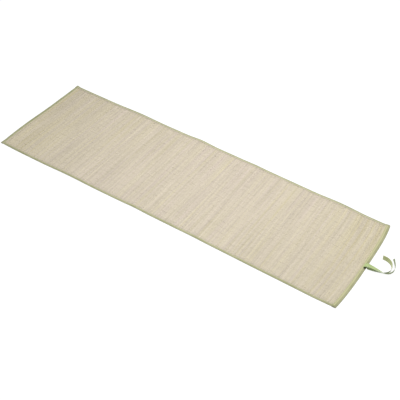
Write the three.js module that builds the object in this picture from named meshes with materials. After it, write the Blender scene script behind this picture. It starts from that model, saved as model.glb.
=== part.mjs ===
import * as THREE from 'three';

// A raffia beach mat, rolled out on a floor.
// A panel of straw stems, all laid across the mat's width, is bound on its four edges
// with green tape folded over the rim. A ribbon, folded at its middle, is sewn on the
// tape at one short end, and its two free tails lie on the floor beside that end.
//
// Millimetres. +X runs along the mat to the end with the tie, +Y across it, +Z up.
// The origin is midway between the four corners, on the surface that the mat lies on.
// A place on the mat is given by along (from end to end) and across (side to side),
// measured on the mat as if it lay perfectly straight and flat.

// Main sizes
const LENGTH = 1800;
const WIDTH = 600;
const STRAW = 2.4;
const TAPE = 1;
const GAP = 0.3;

// How far in the binding tape reaches over each face. Near it the straw is pressed
// down, and the slack beside the tape is the slope back to its full thickness.
const REACH = { nearSide: 12, farSide: 13, plainEnd: 15, tieEnd: 20 };
const BINDING_CLEAR = 1.5;
const BINDING_SLOPE = 8;
const LAYER = TAPE + GAP;
const OVERHANG = 1;

// The tie ribbon
const TIE_WIDTH = 22;
const TIE_CUT_RUN = 45;
// Over this length from the fold the seam still holds the ribbon square to the mat
const TIE_HELD = 18;
const TIE_STEP = 6;

// Spacing of the rows of facets along the mat, and the places of the columns across it
const ROW_STEP = 36;
const COLUMNS = [24, 72, 120, 168, 210, 245];

// How the mat lies. Its middle is swept sideways, and its near side bellies out.
const SWEEP = 6;
const SWEEP_HALF = 860;
const BELLY = 3;
const BELLY_FADE = 100;

// The end with the tie bows outwards, more bluntly on the far half than on the near one
const TIE_END_BOW = 13.7;
const TIE_END_NEAR_POWER = 2.6;
const TIE_END_FAR_POWER = 4;

// The plain end has one shallow bulge on its near half
const PLAIN_END_BULGE = { centre: -135, half: 240, out: 5.6 };
const BOW_FADE = 420;

// Low swells that run across the mat, with their height at the near and far side
const SWELLS = [
  { centre: -490, half: 165, near: 3.5, far: 4.2 },
  { centre: -122, half: 92, near: 2.7, far: 5.5 },
  { centre: 190, half: 90, near: 1.2, far: 1.6 },
  { centre: 650, half: 150, near: 0.6, far: 5.5 },
];

// The slant of each cut end: how far its upper corner reaches beyond its lower one
const BEHIND_CUT = 3;
const FRONT_CUT = -16;

// Routes of the two tails, from the fold on the tape to the free end. x and y are the
// middle of the ribbon, lean is 180 where it lies flat and 90 where it stands on edge,
// and above is how high its lower edge is held over the floor.
const BEHIND_TAIL = [
  { x: 901.6, y: 0, lean: 180, above: 5.3 },
  { x: 908, y: 3.5, lean: 180, above: 5.3 },
  { x: 915, y: 5.5, lean: 178, above: 5.2 },
  { x: 922, y: 6.5, lean: 175, above: 3.4 },
  { x: 932, y: 7.5, lean: 172, above: 0.8 },
  { x: 945, y: 7, lean: 166, above: 0 },
  { x: 960, y: 5, lean: 156, above: 0 },
  { x: 975, y: 2, lean: 146, above: 0 },
  { x: 987, y: 2.5, lean: 136, above: 0 },
  { x: 997, y: 6, lean: 124, above: 0 },
  { x: 1005, y: 14.5, lean: 111, above: 0 },
  { x: 1010, y: 26.5, lean: 102, above: 0 },
  { x: 1010.5, y: 39, lean: 95, above: 0 },
  { x: 1007, y: 52, lean: 91, above: 0 },
  { x: 1000.5, y: 64.5, lean: 91, above: 0 },
  { x: 989, y: 75.5, lean: 94, above: 0 },
  { x: 972, y: 83, lean: 97, above: 0 },
  { x: 951, y: 84, lean: 99, above: 0 },
];
const FRONT_TAIL = [
  { x: 901.6, y: -6, lean: 180, above: 4 },
  { x: 905.5, y: -11, lean: 166, above: 4 },
  { x: 910, y: -15.5, lean: 138, above: 4 },
  { x: 916, y: -18, lean: 114, above: 3.2 },
  { x: 923, y: -17.5, lean: 109, above: 1.4 },
  { x: 931, y: -16, lean: 109, above: 0 },
  { x: 941, y: -14, lean: 111, above: 0 },
  { x: 953, y: -12, lean: 116, above: 0 },
  { x: 965, y: -9.5, lean: 124, above: 0 },
  { x: 978, y: -6, lean: 130, above: 0 },
  { x: 991, y: -2, lean: 130, above: 0 },
  { x: 1002, y: 3.5, lean: 123, above: 0 },
  { x: 1012, y: 11, lean: 112, above: 0 },
  { x: 1018.5, y: 21, lean: 104, above: 0 },
  { x: 1022, y: 34, lean: 96, above: 0 },
  { x: 1022, y: 48, lean: 90, above: 0 },
  { x: 1018, y: 62, lean: 86, above: 0 },
  { x: 1011.5, y: 76, lean: 85, above: 0 },
  { x: 1003.5, y: 90, lean: 86, above: 0 },
  { x: 994.5, y: 104, lean: 87, above: 0 },
];

const { clamp, degToRad, lerp, smoothstep } = THREE.MathUtils;

// A smooth hump that is 1 at 0 and 0 from -1 and 1 outwards
function hump(share) {
  return Math.abs(share) < 1 ? 0.5 + 0.5 * Math.cos(Math.PI * share) : 0;
}

// 1 under a binding of this reach, 0 clear of it, at this distance from the mat's rim
function grip(reach, distance) {
  return clamp((reach + BINDING_CLEAR + BINDING_SLOPE - distance) / BINDING_SLOPE, 0, 1);
}

function gripOfEnd(along) {
  return grip(along > 0 ? REACH.tieEnd : REACH.plainEnd, LENGTH / 2 - Math.abs(along));
}

function gripOfSide(across) {
  return grip(across > 0 ? REACH.farSide : REACH.nearSide, WIDTH / 2 - Math.abs(across));
}

// Height of the mat's underside over the floor, from the swells
function lift(along, across) {
  const farShare = 0.5 + across / WIDTH;
  let height = 0;
  for (const swell of SWELLS) {
    height += lerp(swell.near, swell.far, farShare) * hump((along - swell.centre) / swell.half);
  }
  return height;
}

// How far the short ends bow out, fading away from each end
function bow(along, across) {
  const power = across > 0 ? TIE_END_FAR_POWER : TIE_END_NEAR_POWER;
  const offCentre = Math.min(1, Math.abs(across) / (WIDTH / 2));
  const atTieEnd = TIE_END_BOW * (1 - offCentre ** power);
  const bulge = PLAIN_END_BULGE;
  const atPlainEnd = bulge.out * hump((across - bulge.centre) / bulge.half);
  const tieShare = smoothstep(along, LENGTH / 2 - BOW_FADE, LENGTH / 2);
  const plainShare = smoothstep(-along, LENGTH / 2 - BOW_FADE, LENGTH / 2);
  return atTieEnd * tieShare - atPlainEnd * plainShare;
}

// Sideways shift of the mat
function sway(along, across) {
  const nearShare = 0.5 - across / WIDTH;
  const fromEnd = clamp((LENGTH / 2 - Math.abs(along)) / BELLY_FADE, 0, 1);
  return SWEEP * hump(along / SWEEP_HALF) - BELLY * nearShare * fromEnd;
}

// Where a point of the mat lies, height being counted from the mat's own underside
function lay(along, across, height) {
  return new THREE.Vector3(
    along + bow(along, across),
    across + sway(along, across),
    height + lift(along, across),
  );
}

// A closed body between two faces, each a grid of points given by row and column
function sheetBody(name, material, rows, columns, faceA, faceB) {
  const positions = [];
  for (const face of [faceA, faceB]) {
    for (let row = 0; row < rows; row += 1) {
      for (let column = 0; column < columns; column += 1) {
        positions.push(...face(row, column).toArray());
      }
    }
  }
  const at = (side, row, column) => (side * rows + row) * columns + column;
  const triangles = [];
  const quad = (a, b, c, d) => triangles.push(a, b, c, a, c, d);
  for (let row = 0; row + 1 < rows; row += 1) {
    for (let column = 0; column + 1 < columns; column += 1) {
      quad(at(0, row, column), at(0, row + 1, column), at(0, row + 1, column + 1), at(0, row, column + 1));
      quad(at(1, row, column), at(1, row, column + 1), at(1, row + 1, column + 1), at(1, row + 1, column));
    }
    const last = columns - 1;
    quad(at(0, row, 0), at(1, row, 0), at(1, row + 1, 0), at(0, row + 1, 0));
    quad(at(0, row, last), at(0, row + 1, last), at(1, row + 1, last), at(1, row, last));
  }
  for (let column = 0; column + 1 < columns; column += 1) {
    const last = rows - 1;
    quad(at(0, 0, column), at(0, 0, column + 1), at(1, 0, column + 1), at(1, 0, column));
    quad(at(0, last, column), at(1, last, column), at(1, last, column + 1), at(0, last, column + 1));
  }
  const geometry = new THREE.BufferGeometry();
  geometry.setAttribute('position', new THREE.Float32BufferAttribute(positions, 3));
  geometry.setIndex(volume(positions, triangles) < 0 ? triangles.reverse() : triangles);
  geometry.computeVertexNormals();
  const mesh = new THREE.Mesh(geometry, material);
  mesh.name = name;
  return mesh;
}

// Signed volume of a closed body, which is positive when its faces point outwards
function volume(positions, triangles) {
  const corner = (index) => new THREE.Vector3().fromArray(positions, 3 * index);
  let total = 0;
  for (let i = 0; i < triangles.length; i += 3) {
    const [a, b, c] = [corner(triangles[i]), corner(triangles[i + 1]), corner(triangles[i + 2])];
    total += a.dot(b.cross(c)) / 6;
  }
  return total;
}

// Distance from the mat's middle to the head and the foot of the slope beside a binding
function slopeBeside(halfSize, reach) {
  const head = halfSize - reach - BINDING_CLEAR;
  return { head, foot: head - BINDING_SLOPE };
}

// Rows of facets along the mat: even steps in the middle, of an odd number so that the
// origin is inside a facet, and one row at each change of slope beside the end bindings
function alongRows(half) {
  const plain = slopeBeside(LENGTH / 2, REACH.plainEnd);
  const tie = slopeBeside(LENGTH / 2, REACH.tieEnd);
  const cells = 2 * Math.floor(tie.foot / ROW_STEP) + 1;
  const rows = [];
  for (let i = 0; i <= cells; i += 1) {
    rows.push(lerp(-plain.foot, tie.foot, i / cells));
  }
  return [-half, -plain.head, ...rows, tie.head, half];
}

// Columns across the mat, as far out as half
function acrossColumns(half) {
  const near = slopeBeside(WIDTH / 2, REACH.nearSide);
  const far = slopeBeside(WIDTH / 2, REACH.farSide);
  const mirrored = COLUMNS.map((place) => -place).reverse();
  return [-half, -near.head, -near.foot, ...mirrored, ...COLUMNS, far.foot, far.head, half];
}

function strawPanel(material) {
  const rows = alongRows(LENGTH / 2 - LAYER);
  const columns = acrossColumns(WIDTH / 2 - LAYER);
  const bottom = (row, column) => {
    const [along, across] = [rows[row], columns[column]];
    return lay(along, across, LAYER * (gripOfEnd(along) + gripOfSide(across)));
  };
  const top = (row, column) => {
    const [along, across] = [rows[row], columns[column]];
    return lay(along, across, STRAW + LAYER * gripOfEnd(along) * gripOfSide(across));
  };
  return sheetBody('straw_panel', material, rows.length, columns.length, top, bottom);
}

// Section of a tape folded over a rim, as pairs of points on its outer and inner face.
// Each point is its distance in from the panel's rim and its height. reach is counted
// from the mat's own rim, and bottom and top are the heights of the tape's outer face.
function foldedSection(reach, bottom, top) {
  const middle = (bottom + top) / 2;
  const halfHeight = (top - bottom) / 2;
  const inmost = reach - LAYER;
  const section = [{ outer: [inmost, top], inner: [inmost, top - TAPE] }];
  for (const angle of [90, 45, 0, -45, -90].map(degToRad)) {
    const [out, up] = [Math.cos(angle), Math.sin(angle)];
    section.push({
      outer: [-LAYER * out, middle + halfHeight * up],
      inner: [-GAP * out, middle + (halfHeight - TAPE) * up],
    });
  }
  section.push({ outer: [inmost, bottom], inner: [inmost, bottom + TAPE] });
  return section;
}

// Binding of a long side. It runs the whole length, under the tapes of the two ends.
function sideBinding(name, side, reach, material) {
  const rows = alongRows(LENGTH / 2 - LAYER);
  const sections = rows.map((along) => {
    const raised = LAYER * gripOfEnd(along);
    return foldedSection(reach, raised, STRAW + LAYER + raised);
  });
  const face = (which) => (row, column) => {
    const [inset, height] = sections[row][column][which];
    return lay(rows[row], side * (WIDTH / 2 - LAYER - inset), height);
  };
  return sheetBody(name, material, rows.length, sections[0].length, face('outer'), face('inner'));
}

// Binding of a short end. It laps over the side bindings at both corners.
function endBinding(name, end, reach, material) {
  const rows = acrossColumns(WIDTH / 2 + OVERHANG);
  const sections = rows.map((across) => {
    return foldedSection(reach, 0, STRAW + LAYER + 2 * LAYER * gripOfSide(across));
  });
  const face = (which) => (row, column) => {
    const [inset, height] = sections[row][column][which];
    return lay(end * (LENGTH / 2 - LAYER - inset), rows[row], height);
  };
  return sheetBody(name, material, rows.length, sections[0].length, face('outer'), face('inner'));
}

// Sections of one tail, from the fold outwards, as the ribbon's middle and its half width
function tailSections(route, cut) {
  const plan = new THREE.CatmullRomCurve3(route.map((knot) => new THREE.Vector3(knot.x, knot.y, 0)));
  const poise = new THREE.CatmullRomCurve3(route.map((knot) => new THREE.Vector3(knot.lean, knot.above, 0)));
  const length = plan.getLength();
  const steps = Math.round(length / TIE_STEP);
  const sections = [];
  for (let i = 0; i <= steps; i += 1) {
    const t = plan.getUtoTmapping(i / steps);
    const heading = plan.getTangent(t);
    const free = smoothstep((length * i) / steps, 0, TIE_HELD);
    const leftward = new THREE.Vector3(0, 1, 0);
    leftward.lerp(new THREE.Vector3(-heading.y, heading.x, 0), free).normalize();
    const { x: leanDegrees, y: above } = poise.getPoint(t);
    const lean = degToRad(Math.min(180, leanDegrees));
    const halfWidth = leftward.multiplyScalar(Math.cos(lean)).setZ(Math.sin(lean));
    halfWidth.multiplyScalar(TIE_WIDTH / 2);
    const middle = plan.getPoint(t);
    middle.z = Math.max(0, above) + halfWidth.z + (TAPE / 2) * Math.abs(Math.cos(lean));
    const toCut = clamp(1 - (length * (1 - i / steps)) / TIE_CUT_RUN, 0, 1);
    halfWidth.addScaledVector(heading, (cut / 2) * toCut);
    sections.push({ middle, halfWidth });
  }
  return sections;
}

// The ribbon is one strip: in along the tail behind, round the fold and out along the
// tail in front
function tieRibbon(material) {
  const behind = tailSections(BEHIND_TAIL, BEHIND_CUT);
  const front = tailSections(FRONT_TAIL, FRONT_CUT);
  const [upper, lower] = [behind[0], front[0]];
  const turn = [45, 90, 135].map((degrees) => {
    const angle = degToRad(degrees);
    const middle = upper.middle.clone().lerp(lower.middle, (1 - Math.cos(angle)) / 2);
    middle.x -= (LAYER / 2) * Math.sin(angle);
    return { middle, halfWidth: upper.halfWidth.clone() };
  });
  const sections = [...behind.reverse(), ...turn, ...front];
  const last = sections.length - 1;
  const faces = sections.map(({ middle, halfWidth }, row) => {
    const ahead = sections[Math.min(last, row + 1)].middle;
    const astern = sections[Math.max(0, row - 1)].middle;
    const normal = new THREE.Vector3().crossVectors(halfWidth, ahead.clone().sub(astern)).normalize();
    return { middle, halfWidth, normal };
  });
  const face = (sign) => (row, column) => {
    const { middle, halfWidth, normal } = faces[row];
    return middle
      .clone()
      .addScaledVector(halfWidth, column - 1)
      .addScaledVector(normal, (sign * TAPE) / 2);
  };
  return sheetBody('tie_ribbon', material, sections.length, 3, face(1), face(-1));
}

const straw = new THREE.MeshStandardMaterial({ color: 0xd8cfae, roughness: 0.75, metalness: 0 });
const tape = new THREE.MeshStandardMaterial({ color: 0xa9b873, roughness: 0.85, metalness: 0 });
const ribbon = new THREE.MeshStandardMaterial({ color: 0xb4c47f, roughness: 0.7, metalness: 0 });

const mat = new THREE.Group();
mat.add(strawPanel(straw));
mat.add(sideBinding('near_side_binding', -1, REACH.nearSide, tape));
mat.add(sideBinding('far_side_binding', 1, REACH.farSide, tape));
mat.add(endBinding('plain_end_binding', -1, REACH.plainEnd, tape));
mat.add(endBinding('tie_end_binding', 1, REACH.tieEnd, tape));
mat.add(tieRibbon(ribbon));

export default mat;
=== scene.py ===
# %% [markdown]
# # A straw beach mat, laid out flat
#
# The mat is a long panel of straw stems. Every stem runs across the mat, and thin warp
# threads that run along the mat twine round each stem and hold it. Green cotton tape is
# folded over the four edges and sewn down, and a ribbon is sewn on one short end, so
# that the mat can be rolled up and tied.
#
# A mat could be faked as one flat box with a striped picture on it. Here it is made
# the way it is woven: stems, warp threads, tape, stitches and ribbon are all shapes of
# their own, so the panel keeps its ribbed surface and its rim from any side.

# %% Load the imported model
import math
import random

import bmesh
import bpy
from mathutils import Matrix, Vector, noise


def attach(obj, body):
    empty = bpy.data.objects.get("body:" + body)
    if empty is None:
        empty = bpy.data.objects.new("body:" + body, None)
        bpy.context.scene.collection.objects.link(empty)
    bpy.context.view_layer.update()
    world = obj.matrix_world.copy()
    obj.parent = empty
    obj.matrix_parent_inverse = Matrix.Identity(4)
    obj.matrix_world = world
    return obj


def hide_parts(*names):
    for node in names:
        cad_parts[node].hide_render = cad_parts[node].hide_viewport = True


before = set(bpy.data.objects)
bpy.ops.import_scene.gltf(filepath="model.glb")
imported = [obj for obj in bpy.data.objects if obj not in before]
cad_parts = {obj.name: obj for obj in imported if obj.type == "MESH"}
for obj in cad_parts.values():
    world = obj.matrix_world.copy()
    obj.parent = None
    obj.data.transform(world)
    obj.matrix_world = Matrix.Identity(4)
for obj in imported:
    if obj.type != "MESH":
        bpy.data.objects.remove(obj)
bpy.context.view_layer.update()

print("nodes", sorted(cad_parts))

# %% [markdown]
# ## How the mat lies
#
# A mat that was rolled up never lies perfectly straight. Low swells run across this
# one, its middle is swept a little sideways, and its tied end bows outwards. Every
# piece is first thought of on a perfectly flat and straight mat, where a place is
# `along` and `across` it, and the function `lay` then carries the place to where the
# real mat has it. All pieces share it, so they keep together. The straw is `STRAW`
# thick, and each layer of tape over or under it takes the room of one `LAYER`.

# %% Sizes of the mat, in metres
LENGTH = 1.8
WIDTH = 0.6
STRAW = 0.0024
LAYER = 0.0013
REACH = {"near": 0.012, "far": 0.013, "plain": 0.015, "tie": 0.020}
print("mat", LENGTH, "by", WIDTH)

# %% Swells, sweep and bow
SWELLS = (
    {"centre": -0.490, "half": 0.165, "near": 0.0035, "far": 0.0042},
    {"centre": -0.122, "half": 0.092, "near": 0.0027, "far": 0.0055},
    {"centre": 0.190, "half": 0.090, "near": 0.0012, "far": 0.0016},
    {"centre": 0.650, "half": 0.150, "near": 0.0006, "far": 0.0055},
)
SWEEP = {"out": 0.006, "half": 0.860}
BELLY = {"out": 0.003, "fade": 0.100}
TIE_END_BOW = {"out": 0.0137, "near_power": 2.6, "far_power": 4.0}
PLAIN_END_BULGE = {"centre": -0.135, "half": 0.240, "out": 0.0056}
BOW_FADE = 0.420


def clamp(value, low=0.0, high=1.0):
    return max(low, min(high, value))


def mix(low, high, share):
    return low + (high - low) * share


def smooth(value):
    share = clamp(value)
    return share * share * (3 - 2 * share)


def hump(share):
    """A smooth hump that is 1 at 0, and 0 from -1 and 1 outwards."""
    return 0.5 + 0.5 * math.cos(math.pi * share) if abs(share) < 1 else 0.0


def lift(along, across):
    """Height of the mat's underside over the floor."""
    far_share = 0.5 + across / WIDTH
    return sum(
        mix(swell["near"], swell["far"], far_share) * hump((along - swell["centre"]) / swell["half"])
        for swell in SWELLS
    )


def bow(along, across):
    """How far the short ends bow out, fading away from each end."""
    end = TIE_END_BOW
    power = end["far_power"] if across > 0 else end["near_power"]
    at_tie = end["out"] * (1 - min(1.0, abs(across) / (WIDTH / 2)) ** power)
    bulge = PLAIN_END_BULGE
    at_plain = bulge["out"] * hump((across - bulge["centre"]) / bulge["half"])
    tie_share = smooth((along - LENGTH / 2 + BOW_FADE) / BOW_FADE)
    plain_share = smooth((-along - LENGTH / 2 + BOW_FADE) / BOW_FADE)
    return at_tie * tie_share - at_plain * plain_share


def sway(along, across):
    """Sideways shift of the mat."""
    near_share = 0.5 - across / WIDTH
    from_end = clamp((LENGTH / 2 - abs(along)) / BELLY["fade"])
    return SWEEP["out"] * hump(along / SWEEP["half"]) - BELLY["out"] * near_share * from_end


def lay(along, across, height):
    """Where a place of the mat lies, height being counted from the mat's underside."""
    return Vector((
        along + bow(along, across),
        across + sway(along, across),
        height + lift(along, across),
    ))


print("middle of the tied end", lay(LENGTH / 2, 0, 0).to_tuple(4))

# %% How hard the bindings grip the straw
GRIP_CLEAR = 0.0015
GRIP_SLOPE = 0.008


def grip(reach, distance):
    """1 under a tape of this reach, 0 clear of it."""
    return clamp((reach + GRIP_CLEAR + GRIP_SLOPE - distance) / GRIP_SLOPE)


def grip_of_end(along):
    return grip(REACH["tie" if along > 0 else "plain"], LENGTH / 2 - abs(along))


def grip_of_side(across):
    return grip(REACH["far" if across > 0 else "near"], WIDTH / 2 - abs(across))


print("grip at a corner", grip_of_end(LENGTH / 2), grip_of_side(WIDTH / 2))

# %% [markdown]
# ## Turning a mesh in the making into a piece
#
# Each piece is shaped in a bmesh, where the operators are quick and need no selected
# object. `finish_piece` turns it into an object at the origin, shades it smooth, gives
# it its material, hangs it on the empty of the body it rides on, and hides the plain CAD
# node it stands for, if it stands for one.

# %% Finish a piece
def finish_piece(name, bm, material, replaced=None):
    mesh = bpy.data.meshes.new(name)
    bm.normal_update()
    bm.to_mesh(mesh)
    bm.free()
    mesh.shade_smooth()
    piece = bpy.data.objects.new(name, mesh)
    bpy.context.scene.collection.objects.link(piece)
    mesh.materials.append(material)
    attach(piece, "root")
    if replaced:
        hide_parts(replaced)
    triangles = sum(len(polygon.vertices) - 2 for polygon in mesh.polygons)
    print(name, triangles, "triangles")
    return piece


# %% A plain rod to start stems, threads and stitches from
def unit_rod(bm, sides, cuts):
    """A rod along X from 0 to 1, with a radius of 1, cut into short lengths."""
    bmesh.ops.create_cone(
        bm, cap_ends=True, segments=sides, radius1=1, radius2=1, depth=1,
        matrix=Matrix.Translation((0.5, 0, 0)) @ Matrix.Rotation(math.pi / 2, 4, "Y"),
    )
    lengthwise = [edge for edge in bm.edges if abs(edge.verts[0].co.x - edge.verts[1].co.x) > 0.5]
    bmesh.ops.subdivide_edges(bm, edges=lengthwise, cuts=cuts, use_grid_fill=False)
    bmesh.ops.recalc_face_normals(bm, faces=bm.faces[:])


def alike_rods(bm, sides, cuts, count):
    """Many rods from one model: the vertices of each, still to be put in their place."""
    unit_rod(bm, sides, cuts)
    model = bm.verts[:] + bm.edges[:] + bm.faces[:]
    copies = [model] + [bmesh.ops.duplicate(bm, geom=model)["geom"] for _ in range(count - 1)]
    return [[item for item in copied if isinstance(item, bmesh.types.BMVert)] for copied in copies]


trial = bmesh.new()
unit_rod(trial, 6, 3)
print("a rod of 6 sides and 3 cuts has", len(trial.faces), "faces")
trial.free()

# %% [markdown]
# ## Node helpers for the materials
#
# The finishes are all made of nodes. Each reads either Object coordinates, which are
# metres on the mat, or the piece's own UV map, which is metres on the flat cloth. No
# picture file is used, so the finishes stay sharp at any distance.

# %% Material helpers
SHEEN_ROUGHNESS = 0.45
SPECULAR = 0.3
ONE_BAND = math.pi / 10


def new_finish(name, roughness, sheen=0.0):
    """A plain new finish: its material, its node tree and its shader."""
    material = bpy.data.materials.new(name)
    material.use_nodes = True
    tree = material.node_tree
    shader = tree.nodes["Principled BSDF"]
    shader.inputs["Roughness"].default_value = roughness
    shader.inputs["Sheen Weight"].default_value = sheen
    shader.inputs["Sheen Roughness"].default_value = SHEEN_ROUGHNESS
    shader.inputs["Specular IOR Level"].default_value = SPECULAR
    return material, tree, shader


def place_pattern(tree, source, scale):
    """Coordinates of a pattern, stretched by a scale along each axis."""
    mapping = tree.nodes.new("ShaderNodeMapping")
    mapping.inputs["Scale"].default_value = scale
    if source == "object":
        coordinates = tree.nodes.new("ShaderNodeTexCoord")
        tree.links.new(coordinates.outputs["Object"], mapping.inputs["Vector"])
    else:
        layer = tree.nodes.new("ShaderNodeUVMap")
        layer.uv_map = source
        tree.links.new(layer.outputs["UV"], mapping.inputs["Vector"])
    return mapping.outputs["Vector"]


def noise_pattern(tree, vector, detail=2.0, roughness=0.6):
    texture = tree.nodes.new("ShaderNodeTexNoise")
    texture.inputs["Scale"].default_value = 1.0
    texture.inputs["Detail"].default_value = detail
    texture.inputs["Roughness"].default_value = roughness
    tree.links.new(vector, texture.inputs["Vector"])
    return texture.outputs["Fac"]


def band_pattern(tree, vector, direction):
    """Soft bands, one for each unit along a direction."""
    texture = tree.nodes.new("ShaderNodeTexWave")
    texture.wave_type = "BANDS"
    texture.bands_direction = direction
    texture.wave_profile = "SIN"
    texture.inputs["Scale"].default_value = ONE_BAND
    tree.links.new(vector, texture.inputs["Vector"])
    return texture.outputs["Fac"]


def feed(tree, socket, value):
    """Sets a socket to a number or a colour, or links another node's output to it."""
    if isinstance(value, (int, float)):
        socket.default_value = value
    elif isinstance(value, tuple):
        socket.default_value = (*value, 1)
    else:
        tree.links.new(value, socket)


def arithmetic(tree, operation, *values):
    node = tree.nodes.new("ShaderNodeMath")
    node.operation = operation
    for socket, value in zip(node.inputs, values):
        feed(tree, socket, value)
    return node.outputs[0]


def colour_ramp(tree, factor, stops):
    """Colours along a factor, from pairs of place and colour."""
    node = tree.nodes.new("ShaderNodeValToRGB")
    ramp = node.color_ramp
    while len(ramp.elements) < len(stops):
        ramp.elements.new(0.5)
    for element, (place, colour) in zip(ramp.elements, stops):
        element.position = place
        element.color = (*colour, 1)
    tree.links.new(factor, node.inputs["Fac"])
    return node.outputs["Color"]


def blend_colours(tree, factor, first, second, way="MIX"):
    """A blend of two colours, which a Mix node has at inputs 6 and 7 and at output 2."""
    node = tree.nodes.new("ShaderNodeMix")
    node.data_type = "RGBA"
    node.blend_type = way
    sockets = (node.inputs["Factor"], node.inputs[6], node.inputs[7])
    for socket, value in zip(sockets, (factor, first, second)):
        feed(tree, socket, value)
    return node.outputs[2]


def bump(tree, shader, height, distance, strength=0.5):
    node = tree.nodes.new("ShaderNodeBump")
    node.inputs["Strength"].default_value = strength
    node.inputs["Distance"].default_value = distance
    tree.links.new(height, node.inputs["Height"])
    tree.links.new(node.outputs["Normal"], shader.inputs["Normal"])


print("material helpers ready")

# %% [markdown]
# ## The finish of the straw
#
# Dry straw is pale, and no two stems have the same colour: some are creamy, some more
# yellow, some pinkish or grey, and some have a brown fleck where a leaf joined. The
# fibres run along the stem and give it a faint gloss, and slight dents cross it where it
# was bent. Each stem carries its own tone in a mesh attribute, which the material reads,
# and long thin noise along the stem adds the fibres. That keeps a tone on its stem,
# which a pattern laid over the whole panel could not do.

# %% Straw finish
STEM_TONE = "stem_tone"
WARP_PITCH = 0.034
PALE_STRAW = (
    (0.0, (0.423, 0.366, 0.312)),
    (0.35, (0.419, 0.373, 0.299)),
    (0.7, (0.417, 0.374, 0.278)),
    (1.0, (0.417, 0.372, 0.246)),
)
DARK_STRAW = (
    (0.0, (0.304, 0.263, 0.228)),
    (0.6, (0.310, 0.276, 0.213)),
    (1.0, (0.314, 0.276, 0.184)),
)
FIBRES = {"waves": (2600, 14, 2600), "share": 0.35, "relief": 0.0001, "strength": 0.25}
VEINS = ((0.3, (0.55, 0.52, 0.46)), (0.62, (1.0, 1.0, 1.0)))
FLECKS = {"waves": (420, 60, 420), "brown": (0.33, 0.25, 0.14)}
FLECKED = ((0.70, (0.0, 0.0, 0.0)), (0.80, (0.55, 0.55, 0.55)))
DENT_POWER = 12.0


def straw_finish():
    material, tree, shader = new_finish("dry_straw", roughness=0.62)
    tone = tree.nodes.new("ShaderNodeVertexColor")
    tone.layer_name = STEM_TONE
    parts = tree.nodes.new("ShaderNodeSeparateColor")
    tree.links.new(tone.outputs["Color"], parts.inputs["Color"])
    lightness, warmth, across = parts.outputs["Red"], parts.outputs["Green"], parts.outputs["Blue"]
    pale = colour_ramp(tree, warmth, PALE_STRAW)
    dark = colour_ramp(tree, warmth, DARK_STRAW)
    own = blend_colours(tree, lightness, dark, pale)
    fibres = noise_pattern(tree, place_pattern(tree, "object", FIBRES["waves"]), detail=3.0)
    veined = blend_colours(tree, FIBRES["share"], own, colour_ramp(tree, fibres, VEINS), "MULTIPLY")
    flecks = noise_pattern(tree, place_pattern(tree, "object", FLECKS["waves"]), 1.0, 0.5)
    flecked = blend_colours(tree, colour_ramp(tree, flecks, FLECKED), veined, FLECKS["brown"])
    tree.links.new(flecked, shader.inputs["Base Color"])
    # both signs of the cosine count, so two dents come to each pitch of the warp threads
    turns = arithmetic(tree, "MULTIPLY", across, 2 * math.pi * WIDTH / WARP_PITCH)
    swing = arithmetic(tree, "ABSOLUTE", arithmetic(tree, "COSINE", turns))
    dents = arithmetic(tree, "POWER", swing, DENT_POWER)
    height = arithmetic(tree, "SUBTRACT", fibres, dents)
    bump(tree, shader, height, FIBRES["relief"], FIBRES["strength"])
    return material


straw = straw_finish()
print("straw finish has", len(straw.node_tree.nodes), "nodes")

# %% [markdown]
# ## The stems
#
# A stem of this straw is about three and a half millimetres wide and not half as thick.
# One six-sided rod is the model for all of them. It is duplicated for each stem and then
# reshaped: a little wider or narrower, a little bent, tapering to one end and pressed
# flat under the bindings, as the real ones are. Each is a little wider than its pitch,
# so it laps over the next and leaves no gap. The tones drift slowly along the mat,
# because a weaver lays in the stems by the handful, and the straw is a little darker
# towards the plain end.

# %% Tones of the stems
LIGHTNESS = {"middle": 0.66, "drift": 0.42, "streak": 0.08, "darker_end": 0.12}
WARMTH = {"middle": 0.45, "drift": 0.45}


def patches(along, across, waves, layer):
    """Smooth noise about 0, with so many waves a metre along and across."""
    return noise.noise((along * waves[0], across * waves[1], layer))


def handful_tone(along, across):
    """Slow drift of lightness along the mat, in stripes as long as the stems."""
    broad = patches(along, across, (22, 1.2), 3.0)
    narrow = patches(along, across, (110, 3.2), 8.0)
    return 0.30 * broad + narrow


def handful_warmth(along, across):
    """Slow drift between pinkish and yellowish straw, yellower at both ends."""
    drift = 0.5 * patches(along, across, (15, 1.5), 21.0)
    bundle = 0.9 * patches(along, across, (85, 2.4), 33.0)
    ripened = (along / (LENGTH / 2)) ** 2
    return drift + bundle + 0.8 * ripened - 0.2


def tone_of_stem(stem, along, across):
    """Lightness, warmth and place across the mat, as the straw finish reads them."""
    darker = LIGHTNESS["darker_end"] * clamp(-along / (LENGTH / 2)) ** 2
    lightness = LIGHTNESS["middle"] + LIGHTNESS["drift"] * handful_tone(along, across)
    lightness = lightness + stem["lightness"] - darker
    lightness += LIGHTNESS["streak"] * patches(stem["along"], across, (400, 7), 2.0)
    warmth = WARMTH["middle"] + WARMTH["drift"] * handful_warmth(along, across) + stem["warmth"]
    return clamp(lightness), clamp(warmth), across / WIDTH + 0.5, 1.0


print("tone of a plain stem at the middle", tone_of_stem({"along": 0, "lightness": 0, "warmth": 0}, 0, 0))

# %% Lay the stems
RIM_GAP = 0.0015
STRAW_LENGTH = LENGTH - 2 * RIM_GAP
WANTED_PITCH = 0.00288
STEM_COUNT = round(STRAW_LENGTH / WANTED_PITCH)
STEM_PITCH = STRAW_LENGTH / STEM_COUNT
STEM_SIDES = 6
STEM_CUTS = 22
TAPER = 0.12
LUMPS = 0.10
FILLED = 0.94
random.seed(11)


def place_in_stems(count):
    """Place along the mat, counted in stems from the plain end."""
    return -LENGTH / 2 + RIM_GAP + count * STEM_PITCH


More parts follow.
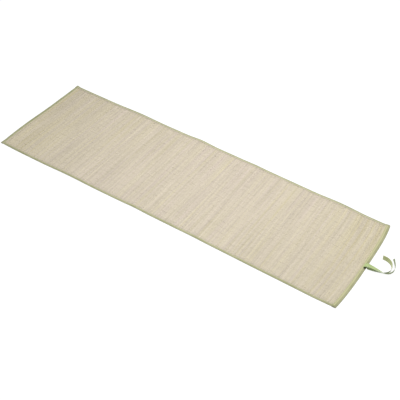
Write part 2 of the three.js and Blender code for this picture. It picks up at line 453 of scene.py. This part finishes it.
def reshape_stem(verts, tone, stem):
    """Bends, tapers and presses one stem, and gives it its tone."""
    reach = WIDTH / 2 - RIM_GAP
    for vert in verts:
        share, around_y, around_z = vert.co
        across = mix(-reach, reach, share)
        along = stem["along"] + stem["wander"] * patches(stem["along"], across, (40, 6), 5.0)
        pressed_end, pressed_side = grip_of_end(along), grip_of_side(across)
        bottom = LAYER * (pressed_end + pressed_side)
        top = STRAW + LAYER * pressed_end * pressed_side
        size = 1 - TAPER * abs(share - stem["thick_end"])
        lump = 1 + LUMPS * patches(stem["along"], across, (300, 45), 1.0)
        half_height = min(stem["height"] * size * lump, (top - bottom) * FILLED) / 2
        half_width = stem["width"] * size * lump / 2
        middle = (top + bottom) / 2 + stem["rise"] * (1 - pressed_side)
        vert.co = lay(along + around_y * half_width, across, middle + around_z * half_height)
        vert[tone] = tone_of_stem(stem, along, across)


def lay_stems():
    bm = bmesh.new()
    tone = bm.verts.layers.float_color.new(STEM_TONE)
    stems = alike_rods(bm, STEM_SIDES, STEM_CUTS, STEM_COUNT)
    for number, verts in enumerate(stems):
        reshape_stem(verts, tone, {
            "along": place_in_stems(number + 0.5),
            "width": STEM_PITCH * random.uniform(1.14, 1.26),
            "height": random.uniform(0.0013, 0.0016),
            "rise": random.uniform(-0.00004, 0.00004),
            "wander": random.uniform(0.0, 0.0006),
            "thick_end": random.choice((0.0, 1.0)),
            "lightness": random.gauss(0, 0.05),
            "warmth": random.gauss(0, 0.10),
        })
    return bm


straw_panel = finish_piece("straw_stems", lay_stems(), straw, "straw_panel")
print(STEM_COUNT, "stems, one every", round(STEM_PITCH * 1000, 2), "mm")

# %% [markdown]
# ## The warp threads
#
# The stems are held by pairs of thin threads that run the whole length of the mat. In
# each pair one thread goes over a stem while the other goes under it, and they change
# places before the next stem. A thread is one long three-sided rod, cut once or twice
# for each stem, whose rings are lifted over one stem and dropped under the next. A
# curve object would give the same line, but with many more faces.

# %% Thread finish
def thread_finish(name, light, dark, twist):
    """Cotton thread: two near tones in a fine twist."""
    material, tree, shader = new_finish(name, roughness=0.8, sheen=0.15)
    grain = noise_pattern(tree, place_pattern(tree, "object", (twist, twist, twist)))
    tone = colour_ramp(tree, grain, ((0.35, dark), (0.65, light)))
    tree.links.new(tone, shader.inputs["Base Color"])
    bump(tree, shader, grain, 0.0002)
    return material


warp_cotton = thread_finish("undyed_warp_cotton", (0.62, 0.56, 0.45), (0.53, 0.475, 0.365), 2400)
print("thread finish ready")

# %% Twine the warp threads
WARP_ROWS = 17
WARP_RADIUS = 0.00022
WARP_SIDES = 3
WARP_WANDER = 0.0012
WARP_SLANT = 0.0008
RINGS_OF_PAIR = (
    # stem of the pair, how far past its middle in stems, 1 over or -1 under it
    (0, -0.30, 1),
    (0, 0.30, 1),
    (1, 0.0, -1),
)


def warp_ring(number, first_over):
    """Place along the mat, lean and side of the straw of one ring of a thread."""
    pair, step = divmod(number, len(RINGS_OF_PAIR))
    of_pair, lean, over = RINGS_OF_PAIR[step]
    stem = 2 * pair + of_pair + (0 if first_over else 1)
    return place_in_stems(stem + 0.5 + lean), lean, over


def lay_warp_threads():
    bm = bmesh.new()
    rings = len(RINGS_OF_PAIR) * (STEM_COUNT // 2) - 2
    threads = alike_rods(bm, WARP_SIDES, rings - 1, 2 * WARP_ROWS)
    for number, verts in enumerate(threads):
        row, first_over = number // 2, number % 2 == 0
        row_across = (row - (WARP_ROWS - 1) / 2) * WARP_PITCH
        for vert in verts:
            along, lean, over = warp_ring(round(vert.co.x * rings), first_over)
            bottom, top = LAYER * grip_of_end(along), STRAW
            middle, reach = (top + bottom) / 2, (top - bottom) / 2 - WARP_RADIUS
            across = row_across + WARP_WANDER * patches(along, row, (9, 3.0), 7.0) + WARP_SLANT * lean
            height = middle + over * reach + vert.co.z * WARP_RADIUS
            vert.co = lay(along, across + vert.co.y * WARP_RADIUS, height)
    return bm


warp_threads = finish_piece("warp_threads", lay_warp_threads(), warp_cotton)

# %% [markdown]
# ## The finish of the tape and the ribbon
#
# Both are woven cotton, so they share one recipe. The flat cloth's own UV map, in
# metres, carries a fine weave of warp and weft as bump and small changes of dye from
# thread to thread. A UV map follows the cloth round its folds, while a pattern in space
# would cut straight through them. Only the broad, soft patches of the dye are a pattern
# in space, where such a cut can't be seen.
#
# The same map tells where a tape is a single layer, which lets the pale straw show
# through; on the far side that band is wider and paler, which is painted light. It also
# tells where the seam of the tied end draws the tape in, with painted shade along that
# line. On the ribbon it carries painted light and shade: lightest at the free end of the
# tail behind, and darkest on the tail in front just past the fold, as painted shade from
# the tail behind.

# %% Where the flat cloth is thin, sewn or painted with light and shade
FLAT_MAP = "flat_cloth"
EDGE_BLUR = 0.0005
SHOWN_THROUGH = 0.6
SEAM_INSET = 0.0024
# painted shade along the seam line: its half width, its blur and the colour of the shade
SEAM_SHADE_LINE = {"half_width": 0.0011, "blur": 0.0006, "colour": (0.10, 0.10, 0.05)}
RIBBON_CUT = 0.45


def soft_step(tree, value, place, blur):
    """1 where a value lies below a place, 0 above it, with a soft change between."""
    step = tree.nodes.new("ShaderNodeMapRange")
    step.interpolation_type = "SMOOTHSTEP"
    step.inputs["From Min"].default_value = place + blur
    step.inputs["From Max"].default_value = place - blur
    tree.links.new(value, step.inputs["Value"])
    return step.outputs["Result"]


def show_straw(tree, flat, dyed, single):
    """Lets the straw show through the single layer at a tape's inner edge."""
    inner = soft_step(tree, flat.outputs["Y"], single["width"], EDGE_BLUR)
    from_middle = arithmetic(tree, "ABSOLUTE", flat.outputs["X"])
    clear_of_end = soft_step(tree, from_middle, single["half_length"], EDGE_BLUR)
    share = arithmetic(tree, "MULTIPLY", inner, clear_of_end)
    thin = blend_colours(tree, SHOWN_THROUGH, dyed, single["colour"])
    return blend_colours(tree, share, dyed, thin)


def paint_seam_shade(tree, flat, dyed, strength):
    """Paints shade on the line where the seam draws a tape in."""
    from_seam = arithmetic(tree, "ABSOLUTE", arithmetic(tree, "SUBTRACT", flat.outputs["Y"], SEAM_INSET))
    on_seam = soft_step(tree, from_seam, SEAM_SHADE_LINE["half_width"], SEAM_SHADE_LINE["blur"])
    painted_seam_shade = arithmetic(tree, "MULTIPLY", on_seam, strength)
    return blend_colours(tree, painted_seam_shade, dyed, SEAM_SHADE_LINE["colour"])


def paint_light_and_shade_along(tree, flat, dyed, painted_shading):
    """Paints light and shade into a dye along the cloth, by a ramp over its length."""
    along_cloth = arithmetic(tree, "MULTIPLY", flat.outputs["X"], 1 / RIBBON_CUT)
    return blend_colours(tree, 1.0, dyed, colour_ramp(tree, along_cloth, painted_shading), "MULTIPLY")


print("the seam runs", SEAM_INSET * 1000, "mm from a tape's inner edge")

# %% Woven cotton finish
WEAVE_PITCH = 0.0006
WEAVE_RELIEF = 0.00025
WARP_STREAKS = (40, 1600, 1)
WEFT_STREAKS = (1600, 60, 1)
DYE_PATCHES = (22, 22, 22)


def halfway(tree, first, second):
    return arithmetic(tree, "MULTIPLY", arithmetic(tree, "ADD", first, second), 0.5)


def woven_finish(name, light, dark, single=None, seam=0.0, painted_shading=None):
    """Woven cotton: two near dyes in streaky threads, over a fine weave."""
    material, tree, shader = new_finish(name, roughness=0.78, sheen=0.2)
    along = noise_pattern(tree, place_pattern(tree, FLAT_MAP, WARP_STREAKS))
    across = noise_pattern(tree, place_pattern(tree, FLAT_MAP, WEFT_STREAKS))
    patchy = noise_pattern(tree, place_pattern(tree, "object", DYE_PATCHES), roughness=0.5)
    threads = halfway(tree, along, across)
    dyed = colour_ramp(tree, halfway(tree, threads, patchy), ((0.40, dark), (0.60, light)))
    flat = tree.nodes.new("ShaderNodeSeparateXYZ")
    tree.links.new(place_pattern(tree, FLAT_MAP, (1, 1, 1)), flat.inputs["Vector"])
    # painted light and shade along the ribbon's length
    if painted_shading:
        dyed = paint_light_and_shade_along(tree, flat, dyed, painted_shading)
    if single:
        dyed = show_straw(tree, flat, dyed, single)
    # painted shade along the seam line, as strong as the seam value
    if seam:
        dyed = paint_seam_shade(tree, flat, dyed, seam)
    tree.links.new(dyed, shader.inputs["Base Color"])
    lines = 1 / WEAVE_PITCH
    warp = band_pattern(tree, place_pattern(tree, FLAT_MAP, (0, lines, 0)), "Y")
    weft = band_pattern(tree, place_pattern(tree, FLAT_MAP, (lines, 0, 0)), "X")
    crossings = arithmetic(tree, "MULTIPLY", warp, weft)
    weave = arithmetic(tree, "ADD", crossings, arithmetic(tree, "MULTIPLY", threads, 0.5))
    bump(tree, shader, weave, WEAVE_RELIEF)
    return material


print("one thread of the weave every", WEAVE_PITCH * 1000, "mm")

# %% The green cottons of this mat
TAPE_DYE = ((0.228, 0.224, 0.130), (0.183, 0.184, 0.095))
RIBBON_DYE = ((0.44, 0.465, 0.235), (0.375, 0.41, 0.195))
# Painted light and shade along the ribbon from the free end of the tail behind: lightest there, darkest
# just past the fold, on the tail in front.
RIBBON_PAINTED_LIGHT_AND_SHADE = (
    (0.00, (1.00, 1.00, 1.00)),
    (0.12, (1.00, 1.00, 1.00)),
    (0.22, (0.76, 0.80, 0.74)),
    (0.28, (0.60, 0.69, 0.61)),
    (0.51, (0.60, 0.69, 0.61)),
    (0.54, (0.36, 0.46, 0.26)),
    (0.65, (0.36, 0.46, 0.26)),
    (0.72, (0.51, 0.60, 0.48)),
    (1.00, (0.57, 0.65, 0.56)),
)
tape_cotton = woven_finish("green_cotton_tape", *TAPE_DYE, single={
    "width": 0.0028, "half_length": LENGTH / 2 - 0.004, "colour": (0.345, 0.330, 0.215),
})
# The far side's copy of the tape finish has a wider and paler inner band than the near side's: painted
# light, for the far tape standing in brighter light.
far_side_painted_light_cotton = woven_finish("green_cotton_tape_painted_lighter_far_side", *TAPE_DYE, single={
    "width": 0.0045, "half_length": LENGTH / 2 - 0.004, "colour": (0.390, 0.365, 0.275),
})
# the tied end's tape gets painted shade along its seam line
tied_end_cotton = woven_finish("green_cotton_tape_of_tied_end", *TAPE_DYE, seam=0.22, single={
    "width": 0.0092, "half_length": WIDTH / 2 - 0.008, "colour": (0.345, 0.330, 0.187),
})
ribbon_cotton = woven_finish("green_ribbon", *RIBBON_DYE, painted_shading=RIBBON_PAINTED_LIGHT_AND_SHADE)
sewing_cotton = thread_finish("green_sewing_cotton", (0.36, 0.38, 0.21), (0.29, 0.32, 0.155), 3000)
print("woven finishes ready")

# %% [markdown]
# ## The binding tapes
#
# Each tape is one flat strip, folded in half over the rim. It starts as a plain grid,
# as long as the edge, and each of its columns is then carried round a section: in over
# the top face, round a soft roll at the rim and back under the mat. Its inner edges are
# drawn down on the straw by the seam, and the short ends of the two end tapes are
# pinched shut. Rolling a flat grid is better here than extruding a section, because the
# grid keeps the flat strip's measures for its UV map, and its area stays the cut tape's.

# %% Section of a folded tape
CLOTH = 0.0007
ROLL = 0.0032
ROLL_COLUMNS = 8
DRAWN_DOWN = (
    # distance from the inner edge, depth
    (0.0, 0.00085),
    (0.0009, 0.00060),
    (SEAM_INSET, 0.00035),
    (0.0040, 0.00008),
)


def folded_section(reach, bottom, top):
    """Points round the fold, from the inner edge on top to the inner edge below."""
    middle, half_height = (bottom + top) / 2, (top - bottom) / 2
    inner = [(reach - LAYER - distance, depth) for distance, depth in DRAWN_DOWN]
    inner.append(((inner[-1][0] + ROLL) / 2, 0.0))
    over = [(inset, top - depth) for inset, depth in inner]
    under = [(inset, bottom + depth) for inset, depth in reversed(inner)]
    rolled = []
    for number in range(ROLL_COLUMNS + 1):
        angle = math.pi * (0.5 - number / ROLL_COLUMNS)
        inset = ROLL - (ROLL + LAYER) * math.cos(angle)
        rolled.append((inset, middle + half_height * math.sin(angle)))
    return over + rolled + under


LAST_COLUMN = len(folded_section(REACH["tie"], 0.0, STRAW + LAYER)) - 1
print("a folded tape has", LAST_COLUMN + 1, "points round its section")


# %% The four bindings
CORNER_LAP = 0.001
SIDE_HALF = LENGTH / 2 - LAYER
END_HALF = WIDTH / 2 + CORNER_LAP
COVERED = 0.016


def side_binding(name, side, cotton):
    """A side tape. Near the ends it rides up on the lower layer of the end tape."""
    def section_at(along):
        raised = LAYER * grip_of_end(along)
        return folded_section(REACH[name], raised, STRAW + LAYER + raised)

    def place(run, inset, height):
        return lay(run, side * (WIDTH / 2 - LAYER - inset), height)

    return {
        "name": f"{name}_side", "half": SIDE_HALF, "sewn_half": LENGTH / 2 - COVERED, "closed": False,
        "section_at": section_at, "place": place, "seed": 10.0 + side, "cotton": cotton,
    }


def end_binding(name, end, cotton):
    """An end tape. At the corners it goes round both layers of the side tape."""
    def section_at(across):
        return folded_section(REACH[name], 0.0, STRAW + LAYER + 2 * LAYER * grip_of_side(across))

    def place(run, inset, height):
        return lay(end * (LENGTH / 2 - LAYER - inset), run, height)

    return {
        "name": f"{name}_end", "half": END_HALF, "sewn_half": END_HALF, "closed": True,
        "section_at": section_at, "place": place, "seed": 20.0 + end, "cotton": cotton,
    }


BINDINGS = {
    "near": side_binding("near", -1, tape_cotton),
    "far": side_binding("far", 1, far_side_painted_light_cotton),
    "plain": end_binding("plain", -1, tape_cotton),
    "tie": end_binding("tie", 1, tied_end_cotton),
}
print("bindings", [binding["name"] for binding in BINDINGS.values()])


# %% Fold the tapes
TAPE_STEP = 0.006
CLOSING_RUN = 0.0012
CLOSED_SHARE = 0.15
WOBBLES = (
    # size, waves a metre, layer of the noise
    (0.0005, 28, 0.0),
    (0.0003, 90, 4.0),
)


def tape_point(binding, row, rows, column):
    """Place along a tape, place on the mat and distance round the fold of one vertex."""
    half, closed = binding["half"], binding["closed"]
    run = 2 * half * (row / rows - 0.5)
    if closed and row in (1, rows - 1):
        run = math.copysign(half - CLOSING_RUN, run)
    section = binding["section_at"](run)
    inset, height = section[column]
    if closed and row in (0, rows):
        height = mix((section[0][1] + section[-1][1]) / 2, height, CLOSED_SHARE)
    layer_below = column // (LAST_COLUMN // 2)
    wobble = sum(
        size * noise.noise((run * waves, binding["seed"] + layer, layer_below))
        for size, waves, layer in WOBBLES
    )
    inset += wobble * abs(2 * column / LAST_COLUMN - 1)
    round_fold = sum(math.dist(section[step], section[step + 1]) for step in range(column))
    return run, binding["place"](run, inset, height), round_fold


def fold_tape(binding):
    """A flat strip carried round the rim, which keeps its flat measures as its UV map."""
    bm = bmesh.new()
    rows = round(2 * binding["half"] / TAPE_STEP)
    bmesh.ops.create_grid(bm, x_segments=rows, y_segments=LAST_COLUMN, size=0.5)
    flat = bm.loops.layers.uv.new(FLAT_MAP)
    flat_places = {}
    for vert in bm.verts:
        row = round((vert.co.x + 0.5) * rows)
        column = round((0.5 - vert.co.y) * LAST_COLUMN)
        run, vert.co, round_fold = tape_point(binding, row, rows, column)
        flat_places[vert] = (run, round_fold)
    for face in bm.faces:
        for loop in face.loops:
            loop[flat].uv = flat_places[loop.vert]
    bmesh.ops.recalc_face_normals(bm, faces=bm.faces[:])
    bm.normal_update()
    highest = max(bm.faces, key=lambda face: face.calc_center_median().z)
    if highest.normal.z < 0:
        bmesh.ops.reverse_faces(bm, faces=bm.faces[:])
    return bm


def thicken(piece, thickness, offset=-1.0):
    """Gives a sheet its thickness, inwards or, with an offset of 0, to both sides."""
    solid = piece.modifiers.new("cloth_thickness", "SOLIDIFY")
    solid.thickness = thickness
    solid.offset = offset


tapes = {}
for name, binding in BINDINGS.items():
    edge = binding["name"]
    folded = fold_tape(binding)
    tapes[name] = finish_piece(f"{edge}_tape", folded, binding["cotton"], f"{edge}_binding")
    thicken(tapes[name], CLOTH)

# %% [markdown]
# ## The sewing
#
# A running stitch goes along each tape a few millimetres from its inner edge, through
# the top face, the straw and the under face. A stitch is a short four-sided rod with
# its ends sunk in the cloth. One is made, duplicated for every place in the seam, and
# bent into a low arch. The side seams stop where the end tapes cover them.

# %% Sew the seams
STITCH_PITCH = 0.0048
STITCH_LENGTH = 0.0031
STITCH_RADIUS = 0.00026
STITCH_SIDES = 4
STITCH_CUTS = 2
STITCH_ARCH = 2.2
SEAM_COLUMN = 2
UNEVEN = 0.00015


def seam_places():
    """Start, end and outward direction of every stitch of the four tapes."""
    places = []
    for binding in BINDINGS.values():
        place = binding["place"]
        count = int(2 * binding["half"] / STITCH_PITCH)
        for number in range(count):
            run = (number + 0.5 - count / 2) * STITCH_PITCH
            if abs(run) > binding["sewn_half"]:
                continue
            section = binding["section_at"](run)
            for column, face in ((SEAM_COLUMN, 1), (LAST_COLUMN - SEAM_COLUMN, -1)):
                inset, height = section[column]
                inset += random.uniform(-UNEVEN, UNEVEN)
                start = place(run - STITCH_LENGTH / 2, inset, height)
                end = place(run + STITCH_LENGTH / 2, inset, height)
                places.append((start, end, Vector((0, 0, face))))
    return places


def sew(places):
    """The model rod at every place, its ends sunk in the cloth and its middle raised."""
    bm = bmesh.new()
    stitches = alike_rods(bm, STITCH_SIDES, STITCH_CUTS, len(places))
    for verts, (start, end, outward) in zip(stitches, places):
        sideways = (end - start).normalized().cross(outward)
        for vert in verts:
            share = vert.co.x
            raised = STITCH_RADIUS * (1.0 - STITCH_ARCH * (2 * share - 1) ** 2)
            ring = sideways * vert.co.y + outward * vert.co.z
            vert.co = start.lerp(end, share) + outward * raised + ring * STITCH_RADIUS
    bmesh.ops.recalc_face_normals(bm, faces=bm.faces[:])
    return bm


finish_piece("seam_stitches", sew(seam_places()), sewing_cotton)

# %% [markdown]
# ## The tie
#
# One length of ribbon is folded at its middle and sewn on the tape of this end, so two
# tails leave the fold. The tail behind lies flat at first and then rises on its edge
# in a curl. The tail in front turns on its edge at once and follows outside the curl.
# Each route is a short list of places: the middle of the ribbon on the
# floor, how far it leans, and how high its lower edge is held. The flat strip is
# carried along the route section by section, so it keeps its width and length.

# %% Routes of the two tails
TIE_STEP = 0.0022
FINE_STEPS = 30
MM = 0.001
ROUTES = {
    "behind": (
        # x, y, lean in degrees, height of the lower edge
        (901.6, 0, 180, 5.3),
        (908, 3.5, 180, 5.3),
        (915, 5.5, 178, 5.2),
        (922, 6.5, 175, 3.4),
        (932, 7.5, 172, 0.8),
        (945, 7, 166, 0),
        (960, 5, 156, 0),
        (975, 2, 146, 0),
        (987, 2.5, 136, 0),
        (997, 6, 124, 0),
        (1005, 14.5, 111, 0),
        (1010, 26.5, 102, 0),
        (1010.5, 39, 95, 0),
        (1007, 52, 91, 0),
        (1000.5, 64.5, 91, 0),
        (989, 75.5, 94, 0),
        (972, 83, 97, 0),
        (951, 84, 99, 0),
    ),
    "front": (
        (901.6, -6, 180, 4),
        (905.5, -9.5, 174, 4),
        (910, -14.5, 148, 2.4),
        (916, -18, 117, 1),
        (923, -17.5, 109, 0.3),
        (931, -16, 109, 0),
        (941, -14, 111, 0),
        (953, -12, 116, 0),
        (965, -9.5, 124, 0),
        (978, -6, 130, 0),
        (991, -2, 130, 0),
        (1002, 3.5, 123, 0),
        (1012, 11, 112, 0),
        (1018.5, 21, 104, 0),
        (1022, 34, 96, 0),
        (1022, 48, 90, 0),
        (1018, 62, 86, 0),
        (1011.5, 76, 85, 0),
        (1003.5, 90, 86, 0),
        (994.5, 104, 87, 0),
    ),
}


def on_route(route, place):
    """A smooth curve through the rows of a route, at a place counted in rows."""
    row = min(int(place), len(route) - 2)
    share = place - row
    rows = [Vector(route[max(0, min(len(route) - 1, row + step))]) for step in (-1, 0, 1, 2)]
    ahead, astern = (rows[2] - rows[0]) / 2, (rows[3] - rows[1]) / 2
    square, cube = share ** 2, share ** 3
    return (
        rows[1] * (2 * cube - 3 * square + 1) + ahead * (cube - 2 * square + share)
        + rows[2] * (3 * square - 2 * cube) + astern * (cube - square)
    )


def even_steps(route):
    """Points of a route at even steps of its length on the floor, and that length."""
    fine = [on_route(route, number / FINE_STEPS) for number in range(FINE_STEPS * (len(route) - 1) + 1)]
    lengths = [0.0]
    for first, second in zip(fine, fine[1:]):
        lengths.append(lengths[-1] + MM * (second.xy - first.xy).length)
    count = round(lengths[-1] / TIE_STEP)
    points, at = [], 0
    for number in range(count + 1):
        wanted = lengths[-1] * number / count
        while at + 2 < len(lengths) and lengths[at + 1] < wanted:
            at += 1
        share = (wanted - lengths[at]) / max(1e-9, lengths[at + 1] - lengths[at])
        points.append(fine[at].lerp(fine[at + 1], clamp(share)))
    return points, lengths[-1]


print("the tail behind is", round(even_steps(ROUTES["behind"])[1], 3), "m long")


# %% Sections of the ribbon
TIE_WIDTH = 0.022
TIE_HELD = 0.018
SLANTS = {"behind": 0.003, "front": -0.016}
SLANT_RUN = 0.045
FOLD_STEP = 20


def tail_sections(name):
    """Middle and half width of the ribbon along one tail, from the fold outwards."""
    points, length = even_steps(ROUTES[name])
    sections = []
    for number, point in enumerate(points):
        ahead = points[min(len(points) - 1, number + 1)]
        astern = points[max(0, number - 1)]
        heading = (ahead.xy - astern.xy).normalized().to_3d()
        free = smooth(number * TIE_STEP / TIE_HELD)
        leftward = Vector((0, 1, 0)).lerp(Vector((-heading.y, heading.x, 0)), free).normalized()
        lean = math.radians(min(180.0, point[2]))
        half = (leftward * math.cos(lean) + Vector((0, 0, math.sin(lean)))) * (TIE_WIDTH / 2)
        height = MM * max(0.0, point[3]) + half.z + CLOTH * abs(math.cos(lean)) / 2
        to_cut = clamp(1 - length * (1 - number / (len(points) - 1)) / SLANT_RUN)
        half += heading * SLANTS[name] / 2 * to_cut
        sections.append((Vector((MM * point.x, MM * point.y, height)), half))
    return sections


def fold_sections(upper, lower):
    """The turn between the two tails, at the sewn end."""
    turn = []
    for degrees in range(FOLD_STEP, 180, FOLD_STEP):
        angle = math.radians(degrees)
        middle = upper[0].lerp(lower[0], (1 - math.cos(angle)) / 2)
        middle.x -= LAYER / 2 * math.sin(angle)
        turn.append((middle, upper[1].copy()))
    return turn


def ribbon_sections():
    """Sections of the whole ribbon, and how far along its middle each one is."""
    behind, front = tail_sections("behind"), tail_sections("front")
    sections = behind[::-1] + fold_sections(behind[0], front[0]) + front
    lengths = [0.0]
    for first, second in zip(sections, sections[1:]):
        lengths.append(lengths[-1] + (second[0] - first[0]).length)
    return sections, lengths


sections, lengths = ribbon_sections()
print("ribbon", round(lengths[-1], 3), "m long in", len(sections), "sections")


# %% Make the ribbon
TIE_CLOTH = 0.0006
TIE_COLUMNS = 12
RIPPLE = {"height": 0.0005, "waves": (45, 0.8), "grows": 40}


def make_ribbon(sections, lengths):
    bm = bmesh.new()
    last = len(sections) - 1
    bmesh.ops.create_grid(bm, x_segments=last, y_segments=TIE_COLUMNS, size=0.5)
    flat = bm.loops.layers.uv.new(FLAT_MAP)
    flat_places = {}
    for vert in bm.verts:
        row, side = round((vert.co.x + 0.5) * last), 2 * vert.co.y
        middle, half = sections[row]
        heading = sections[min(last, row + 1)][0] - sections[max(0, row - 1)][0]
        normal = half.cross(heading).normalized()
        ripple = RIPPLE["height"] * patches(lengths[row], side, RIPPLE["waves"], 2.0)
        ripple *= min(1.0, RIPPLE["grows"] * lengths[row])
        vert.co = middle + half * side + normal * ripple
        flat_places[vert] = (lengths[row], side * TIE_WIDTH / 2)
    for face in bm.faces:
        for loop in face.loops:
            loop[flat].uv = flat_places[loop.vert]
    return bm


tie = finish_piece("tie", make_ribbon(sections, lengths), ribbon_cotton, "tie_ribbon")
thicken(tie, TIE_CLOTH, 0.0)

# %% [markdown]
# ## The box of stitches that holds the ribbon
#
# The fold of the ribbon takes all the pull when the mat is tied up, so it is sewn on the
# tape with a small box of stitches rather than one line. The box lies on the ribbon's
# flat root and uses the same model stitch as the seams.

# %% Sew the ribbon on
BOX = {"from": 0.9030, "to": 0.9105, "near": -0.0075, "far": 0.0105, "height": 0.0060}
BOX_STITCHES = {"along": 3, "across": 6}
BOX_GAP = 0.15


def box_places():
    """Start, end and outward direction of the stitches round the box."""
    corners = [
        Vector((BOX[x], BOX[y], BOX["height"]))
        for x, y in (("from", "near"), ("to", "near"), ("to", "far"), ("from", "far"))
    ]
    places = []
    for number, corner in enumerate(corners):
        following = corners[(number + 1) % 4]
        count = BOX_STITCHES["along" if number % 2 == 0 else "across"]
        for stitch in range(count):
            start = corner.lerp(following, (stitch + BOX_GAP) / count)
            end = corner.lerp(following, (stitch + (1 - BOX_GAP)) / count)
            places.append((start, end, Vector((0, 0, 1))))
    return places


finish_piece("tie_stitches", sew(box_places()), sewing_cotton)

# %% [markdown]
# ## The flat width of a tape
#
# A tape's flat width is the distance round its section.

def tape_width(reach):
    section = folded_section(reach, 0.0, STRAW + LAYER)
    return sum(math.dist(first, second) for first, second in zip(section, section[1:]))


print("tape widths", [round(tape_width(reach), 4) for reach in REACH.values()])

# %% [markdown]
# ## Floor, light and camera
#
# The mat was photographed on plain white, from about four metres away on its near
# right and well above it. One large soft light hangs overhead, a little towards the
# tied end and the far side, so the plain end is a little darker. The floor gives off
# its own white light, which keeps it free of shadows, as on a lit table, and shines up
# under the ribbon.

# %% White floor
FLOOR = {"reach": 30, "drop": 0.0002, "grey": 0.05, "glow": 0.98}


def white_floor():
    bm = bmesh.new()
    bmesh.ops.create_grid(bm, x_segments=1, y_segments=1, size=FLOOR["reach"])
    bmesh.ops.translate(bm, verts=bm.verts, vec=(0, 0, -FLOOR["drop"]))
    mesh = bpy.data.meshes.new("floor")
    bm.to_mesh(mesh)
    bm.free()
    floor = bpy.data.objects.new("floor", mesh)
    bpy.context.scene.collection.objects.link(floor)
    material, tree, shader = new_finish("white_floor", roughness=0.9)
    grey = FLOOR["grey"]
    shader.inputs["Base Color"].default_value = (grey, grey, grey, 1)
    shader.inputs["Emission Color"].default_value = (1, 1, 1, 1)
    shader.inputs["Emission Strength"].default_value = FLOOR["glow"]
    mesh.materials.append(material)


white_floor()
print("floor reaches", FLOOR["reach"], "m each way")

# %% Soft light
SKY = 0.40
KEY = {"power": 112.0, "size": 1.6, "place": (0.35, 0.18, 2.3)}


def soft_light():
    world = bpy.data.worlds.new("studio")
    world.use_nodes = True
    background = world.node_tree.nodes["Background"]
    background.inputs["Color"].default_value = (1, 1, 1, 1)
    background.inputs["Strength"].default_value = SKY
    bpy.context.scene.world = world
    light = bpy.data.lights.new("overhead_softbox", "AREA")
    light.shape = "SQUARE"
    light.size = KEY["size"]
    light.energy = KEY["power"]
    softbox = bpy.data.objects.new("overhead_softbox", light)
    softbox.location = KEY["place"]
    softbox.rotation_euler = (-Vector(KEY["place"])).to_track_quat("-Z", "Y").to_euler()
    bpy.context.scene.collection.objects.link(softbox)


soft_light()
bpy.context.scene.view_settings.view_transform = "Standard"
print("light of", KEY["power"], "watts")

# %% Camera
AZIMUTH = math.radians(27.52)
ELEVATION = math.radians(42.42)
CAMERA_ROLL = math.radians(6.08)
DISTANCE = 3.982
TARGET = Vector((0.0965, -0.0702, 0))
SENSOR = 36.0
FOCAL_PIXELS = 858.43
FRAME_PIXELS = 400
FARTHEST = 100


def look():
    """The camera's axes: it looks along minus back, and rolls about that axis."""
    back = Vector((
        math.sin(AZIMUTH) * math.cos(ELEVATION),
        -math.cos(AZIMUTH) * math.cos(ELEVATION),
        math.sin(ELEVATION),
    ))
    right = Vector((math.cos(AZIMUTH), math.sin(AZIMUTH), 0))
    up = back.cross(right)
    cosine, sine = math.cos(CAMERA_ROLL), math.sin(CAMERA_ROLL)
    return right * cosine + up * sine, up * cosine - right * sine, back


right, up, back = look()
lens = bpy.data.cameras.new("camera")
lens.sensor_width = SENSOR
lens.lens = FOCAL_PIXELS * SENSOR / FRAME_PIXELS
lens.clip_end = FARTHEST
camera = bpy.data.objects.new("camera", lens)
axes = Matrix((right, up, back)).transposed().to_4x4()
camera.matrix_world = Matrix.Translation(TARGET + back * DISTANCE) @ axes
bpy.context.scene.collection.objects.link(camera)
bpy.context.scene.camera = camera
print("camera at", camera.matrix_world.translation.to_tuple(3), "with a lens of", round(lens.lens, 2), "mm")
